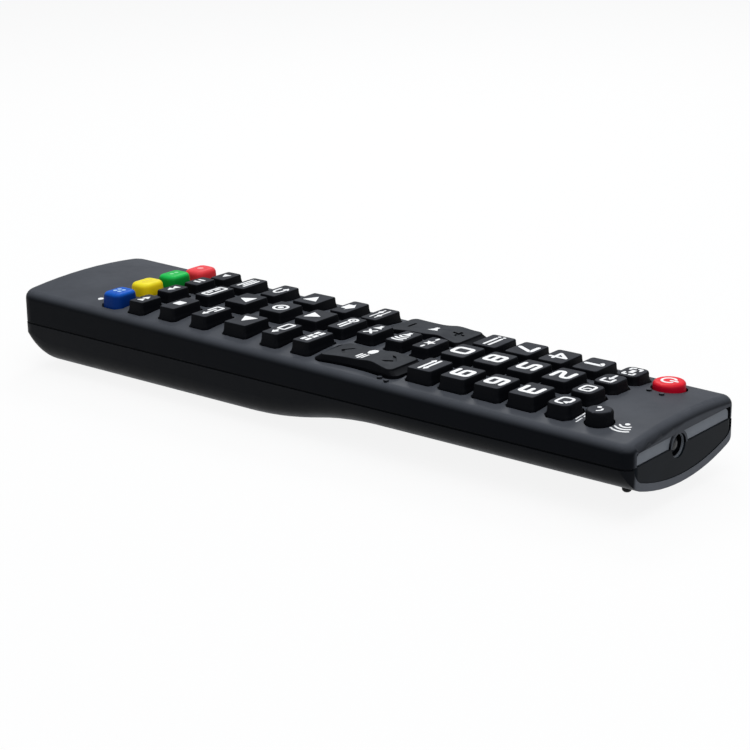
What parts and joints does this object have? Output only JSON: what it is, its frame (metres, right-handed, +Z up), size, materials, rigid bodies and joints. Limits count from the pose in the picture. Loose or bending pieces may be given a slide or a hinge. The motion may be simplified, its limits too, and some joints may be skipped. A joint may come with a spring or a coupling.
{
  "type": "tv remote control",
  "caption": "Long slim handheld infrared remote with a crowned key face, rocker keys and a battery door that tilts out of its back.",
  "frame": {"origin": "centre of the bounding box at its base, on the plane the remote rests on", "axes": "+Z up through the key face, +Y along the length towards the infrared end, +X to the side of the page rocker"},
  "size_m": [0.046, 0.2, 0.0258],
  "materials": {
    "upper_shell": "satin",
    "lower_shell": "satin",
    "window": "glossy",
    "lamp": "clear",
    "rubber": "matt",
    "board": "satin",
    "mat": "matt",
    "component": "matt",
    "cell": "satin",
    "contact": "satin",
    "key": "matt",
    "rocker": "matt",
    "power_red": "satin",
    "key_red": "satin",
    "key_green": "satin",
    "key_yellow": "satin",
    "key_blue": "satin"
  },
  "bodies": {
    "housing": {"top_housing": "upper_shell", "bottom_housing": "lower_shell", "ir_window": "window", "ir_lamp": "lamp", "front_feet": "rubber", "circuit_board": "board", "keypad_mat": "mat", "controller_chip": "component", "capacitor": "component", "battery_left": "cell", "battery_right": "cell", "battery_springs": "contact", "contact_plates": "contact"},
    "cover": {"battery_cover": "lower_shell"},
    "key_power": {"key_power": "power_red"},
    "key_source": {"key_source": "key"},
    "key_1": {"key_1": "key"},
    "key_2": {"key_2": "key"},
    "key_3": {"key_3": "key"},
    "key_4": {"key_4": "key"},
    "key_5": {"key_5": "key"},
    "key_6": {"key_6": "key"},
    "key_7": {"key_7": "key"},
    "key_8": {"key_8": "key"},
    "key_9": {"key_9": "key"},
    "key_list": {"key_list": "key"},
    "key_0": {"key_0": "key"},
    "key_recall": {"key_recall": "key"},
    "key_favourite": {"key_favourite": "key"},
    "key_mute_far": {"key_mute_far": "key"},
    "key_mute": {"key_mute": "key"},
    "key_settings": {"key_settings": "key"},
    "key_info": {"key_info": "key"},
    "key_guide": {"key_guide": "key"},
    "key_menu": {"key_menu": "key"},
    "key_up": {"key_up": "key"},
    "key_source_list": {"key_source_list": "key"},
    "key_left": {"key_left": "key"},
    "key_ok": {"key_ok": "key"},
    "key_right": {"key_right": "key"},
    "key_back": {"key_back": "key"},
    "key_down": {"key_down": "key"},
    "key_exit": {"key_exit": "key"},
    "key_text": {"key_text": "key"},
    "key_subtitle": {"key_subtitle": "key"},
    "key_stop": {"key_stop": "key"},
    "key_ratio": {"key_ratio": "key"},
    "key_input": {"key_input": "key"},
    "key_sleep": {"key_sleep": "key"},
    "key_cycle": {"key_cycle": "key"},
    "key_play": {"key_play": "key"},
    "key_pause": {"key_pause": "key"},
    "key_forward": {"key_forward": "key"},
    "key_rewind": {"key_rewind": "key"},
    "key_red": {"key_red": "key_red"},
    "key_green": {"key_green": "key_green"},
    "key_yellow": {"key_yellow": "key_yellow"},
    "key_blue": {"key_blue": "key_blue"},
    "rocker_volume": {"rocker_volume": "rocker"},
    "rocker_page": {"rocker_page": "rocker"}
  },
  "joints": [
    {"name": "cover_tilt", "type": "hinge", "parent": "housing", "child": "cover", "pos_m": [0, -0.088, 0], "axis": [-1, 0, 0], "range_deg": [0, 40]},
    {"name": "key_power_press", "type": "slide", "parent": "housing", "child": "key_power", "axis": [0, 0, -1], "range_m": [0, 0.001], "stiffness_N_per_m": 60, "springref_m": -0.0003},
    {"name": "key_source_press", "type": "slide", "parent": "housing", "child": "key_source", "axis": [0, 0, -1], "range_m": [0, 0.001], "stiffness_N_per_m": 60, "springref_m": -0.0003},
    {"name": "key_1_press", "type": "slide", "parent": "housing", "child": "key_1", "axis": [0, 0, -1], "range_m": [0, 0.001], "stiffness_N_per_m": 60, "springref_m": -0.0003},
    {"name": "key_2_press", "type": "slide", "parent": "housing", "child": "key_2", "axis": [0, 0, -1], "range_m": [0, 0.001], "stiffness_N_per_m": 60, "springref_m": -0.0003},
    {"name": "key_3_press", "type": "slide", "parent": "housing", "child": "key_3", "axis": [0, 0, -1], "range_m": [0, 0.001], "stiffness_N_per_m": 60, "springref_m": -0.0003},
    {"name": "key_4_press", "type": "slide", "parent": "housing", "child": "key_4", "axis": [0, 0, -1], "range_m": [0, 0.001], "stiffness_N_per_m": 60, "springref_m": -0.0003},
    {"name": "key_5_press", "type": "slide", "parent": "housing", "child": "key_5", "axis": [0, 0, -1], "range_m": [0, 0.001], "stiffness_N_per_m": 60, "springref_m": -0.0003},
    {"name": "key_6_press", "type": "slide", "parent": "housing", "child": "key_6", "axis": [0, 0, -1], "range_m": [0, 0.001], "stiffness_N_per_m": 60, "springref_m": -0.0003},
    {"name": "key_7_press", "type": "slide", "parent": "housing", "child": "key_7", "axis": [0, 0, -1], "range_m": [0, 0.001], "stiffness_N_per_m": 60, "springref_m": -0.0003},
    {"name": "key_8_press", "type": "slide", "parent": "housing", "child": "key_8", "axis": [0, 0, -1], "range_m": [0, 0.001], "stiffness_N_per_m": 60, "springref_m": -0.0003},
    {"name": "key_9_press", "type": "slide", "parent": "housing", "child": "key_9", "axis": [0, 0, -1], "range_m": [0, 0.001], "stiffness_N_per_m": 60, "springref_m": -0.0003},
    {"name": "key_list_press", "type": "slide", "parent": "housing", "child": "key_list", "axis": [0, 0, -1], "range_m": [0, 0.001], "stiffness_N_per_m": 60, "springref_m": -0.0003},
    {"name": "key_0_press", "type": "slide", "parent": "housing", "child": "key_0", "axis": [0, 0, -1], "range_m": [0, 0.001], "stiffness_N_per_m": 60, "springref_m": -0.0003},
    {"name": "key_recall_press", "type": "slide", "parent": "housing", "child": "key_recall", "axis": [0, 0, -1], "range_m": [0, 0.001], "stiffness_N_per_m": 60, "springref_m": -0.0003},
    {"name": "key_favourite_press", "type": "slide", "parent": "housing", "child": "key_favourite", "axis": [0, 0, -1], "range_m": [0, 0.001], "stiffness_N_per_m": 60, "springref_m": -0.0003},
    {"name": "key_mute_far_press", "type": "slide", "parent": "housing", "child": "key_mute_far", "axis": [0, 0, -1], "range_m": [0, 0.001], "stiffness_N_per_m": 60, "springref_m": -0.0003},
    {"name": "key_mute_press", "type": "slide", "parent": "housing", "child": "key_mute", "axis": [0, 0, -1], "range_m": [0, 0.001], "stiffness_N_per_m": 60, "springref_m": -0.0003},
    {"name": "key_settings_press", "type": "slide", "parent": "housing", "child": "key_settings", "axis": [0, 0, -1], "range_m": [0, 0.001], "stiffness_N_per_m": 60, "springref_m": -0.0003},
    {"name": "key_info_press", "type": "slide", "parent": "housing", "child": "key_info", "axis": [0, 0, -1], "range_m": [0, 0.001], "stiffness_N_per_m": 60, "springref_m": -0.0003},
    {"name": "key_guide_press", "type": "slide", "parent": "housing", "child": "key_guide", "axis": [0, 0, -1], "range_m": [0, 0.001], "stiffness_N_per_m": 60, "springref_m": -0.0003},
    {"name": "key_menu_press", "type": "slide", "parent": "housing", "child": "key_menu", "axis": [0, 0, -1], "range_m": [0, 0.001], "stiffness_N_per_m": 60, "springref_m": -0.0003},
    {"name": "key_up_press", "type": "slide", "parent": "housing", "child": "key_up", "axis": [0, 0, -1], "range_m": [0, 0.001], "stiffness_N_per_m": 60, "springref_m": -0.0003},
    {"name": "key_source_list_press", "type": "slide", "parent": "housing", "child": "key_source_list", "axis": [0, 0, -1], "range_m": [0, 0.001], "stiffness_N_per_m": 60, "springref_m": -0.0003},
    {"name": "key_left_press", "type": "slide", "parent": "housing", "child": "key_left", "axis": [0, 0, -1], "range_m": [0, 0.001], "stiffness_N_per_m": 60, "springref_m": -0.0003},
    {"name": "key_ok_press", "type": "slide", "parent": "housing", "child": "key_ok", "axis": [0, 0, -1], "range_m": [0, 0.001], "stiffness_N_per_m": 60, "springref_m": -0.0003},
    {"name": "key_right_press", "type": "slide", "parent": "housing", "child": "key_right", "axis": [0, 0, -1], "range_m": [0, 0.001], "stiffness_N_per_m": 60, "springref_m": -0.0003},
    {"name": "key_back_press", "type": "slide", "parent": "housing", "child": "key_back", "axis": [0, 0, -1], "range_m": [0, 0.001], "stiffness_N_per_m": 60, "springref_m": -0.0003},
    {"name": "key_down_press", "type": "slide", "parent": "housing", "child": "key_down", "axis": [0, 0, -1], "range_m": [0, 0.001], "stiffness_N_per_m": 60, "springref_m": -0.0003},
    {"name": "key_exit_press", "type": "slide", "parent": "housing", "child": "key_exit", "axis": [0, 0, -1], "range_m": [0, 0.001], "stiffness_N_per_m": 60, "springref_m": -0.0003},
    {"name": "key_text_press", "type": "slide", "parent": "housing", "child": "key_text", "axis": [0, 0, -1], "range_m": [0, 0.001], "stiffness_N_per_m": 60, "springref_m": -0.0003},
    {"name": "key_subtitle_press", "type": "slide", "parent": "housing", "child": "key_subtitle", "axis": [0, 0, -1], "range_m": [0, 0.001], "stiffness_N_per_m": 60, "springref_m": -0.0003},
    {"name": "key_stop_press", "type": "slide", "parent": "housing", "child": "key_stop", "axis": [0, 0, -1], "range_m": [0, 0.001], "stiffness_N_per_m": 60, "springref_m": -0.0003},
    {"name": "key_ratio_press", "type": "slide", "parent": "housing", "child": "key_ratio", "axis": [0, 0, -1], "range_m": [0, 0.001], "stiffness_N_per_m": 60, "springref_m": -0.0003},
    {"name": "key_input_press", "type": "slide", "parent": "housing", "child": "key_input", "axis": [0, 0, -1], "range_m": [0, 0.001], "stiffness_N_per_m": 60, "springref_m": -0.0003},
    {"name": "key_sleep_press", "type": "slide", "parent": "housing", "child": "key_sleep", "axis": [0, 0, -1], "range_m": [0, 0.001], "stiffness_N_per_m": 60, "springref_m": -0.0003},
    {"name": "key_cycle_press", "type": "slide", "parent": "housing", "child": "key_cycle", "axis": [0, 0, -1], "range_m": [0, 0.001], "stiffness_N_per_m": 60, "springref_m": -0.0003},
    {"name": "key_play_press", "type": "slide", "parent": "housing", "child": "key_play", "axis": [0, 0, -1], "range_m": [0, 0.001], "stiffness_N_per_m": 60, "springref_m": -0.0003},
    {"name": "key_pause_press", "type": "slide", "parent": "housing", "child": "key_pause", "axis": [0, 0, -1], "range_m": [0, 0.001], "stiffness_N_per_m": 60, "springref_m": -0.0003},
    {"name": "key_forward_press", "type": "slide", "parent": "housing", "child": "key_forward", "axis": [0, 0, -1], "range_m": [0, 0.001], "stiffness_N_per_m": 60, "springref_m": -0.0003},
    {"name": "key_rewind_press", "type": "slide", "parent": "housing", "child": "key_rewind", "axis": [0, 0, -1], "range_m": [0, 0.001], "stiffness_N_per_m": 60, "springref_m": -0.0003},
    {"name": "key_red_press", "type": "slide", "parent": "housing", "child": "key_red", "axis": [0, 0, -1], "range_m": [0, 0.001], "stiffness_N_per_m": 60, "springref_m": -0.0003},
    {"name": "key_green_press", "type": "slide", "parent": "housing", "child": "key_green", "axis": [0, 0, -1], "range_m": [0, 0.001], "stiffness_N_per_m": 60, "springref_m": -0.0003},
    {"name": "key_yellow_press", "type": "slide", "parent": "housing", "child": "key_yellow", "axis": [0, 0, -1], "range_m": [0, 0.001], "stiffness_N_per_m": 60, "springref_m": -0.0003},
    {"name": "key_blue_press", "type": "slide", "parent": "housing", "child": "key_blue", "axis": [0, 0, -1], "range_m": [0, 0.001], "stiffness_N_per_m": 60, "springref_m": -0.0003},
    {"name": "rocker_volume_tilt", "type": "hinge", "parent": "housing", "child": "rocker_volume", "pos_m": [-0.0133, 0.0182, 0.0154], "axis": [1, 0, 0], "range_deg": [-2, 2], "stiffness_Nm_per_rad": 0.05},
    {"name": "rocker_page_tilt", "type": "hinge", "parent": "housing", "child": "rocker_page", "pos_m": [0.0133, 0.0182, 0.0154], "axis": [1, 0, 0], "range_deg": [-2, 2], "stiffness_Nm_per_rad": 0.05}
  ]
}
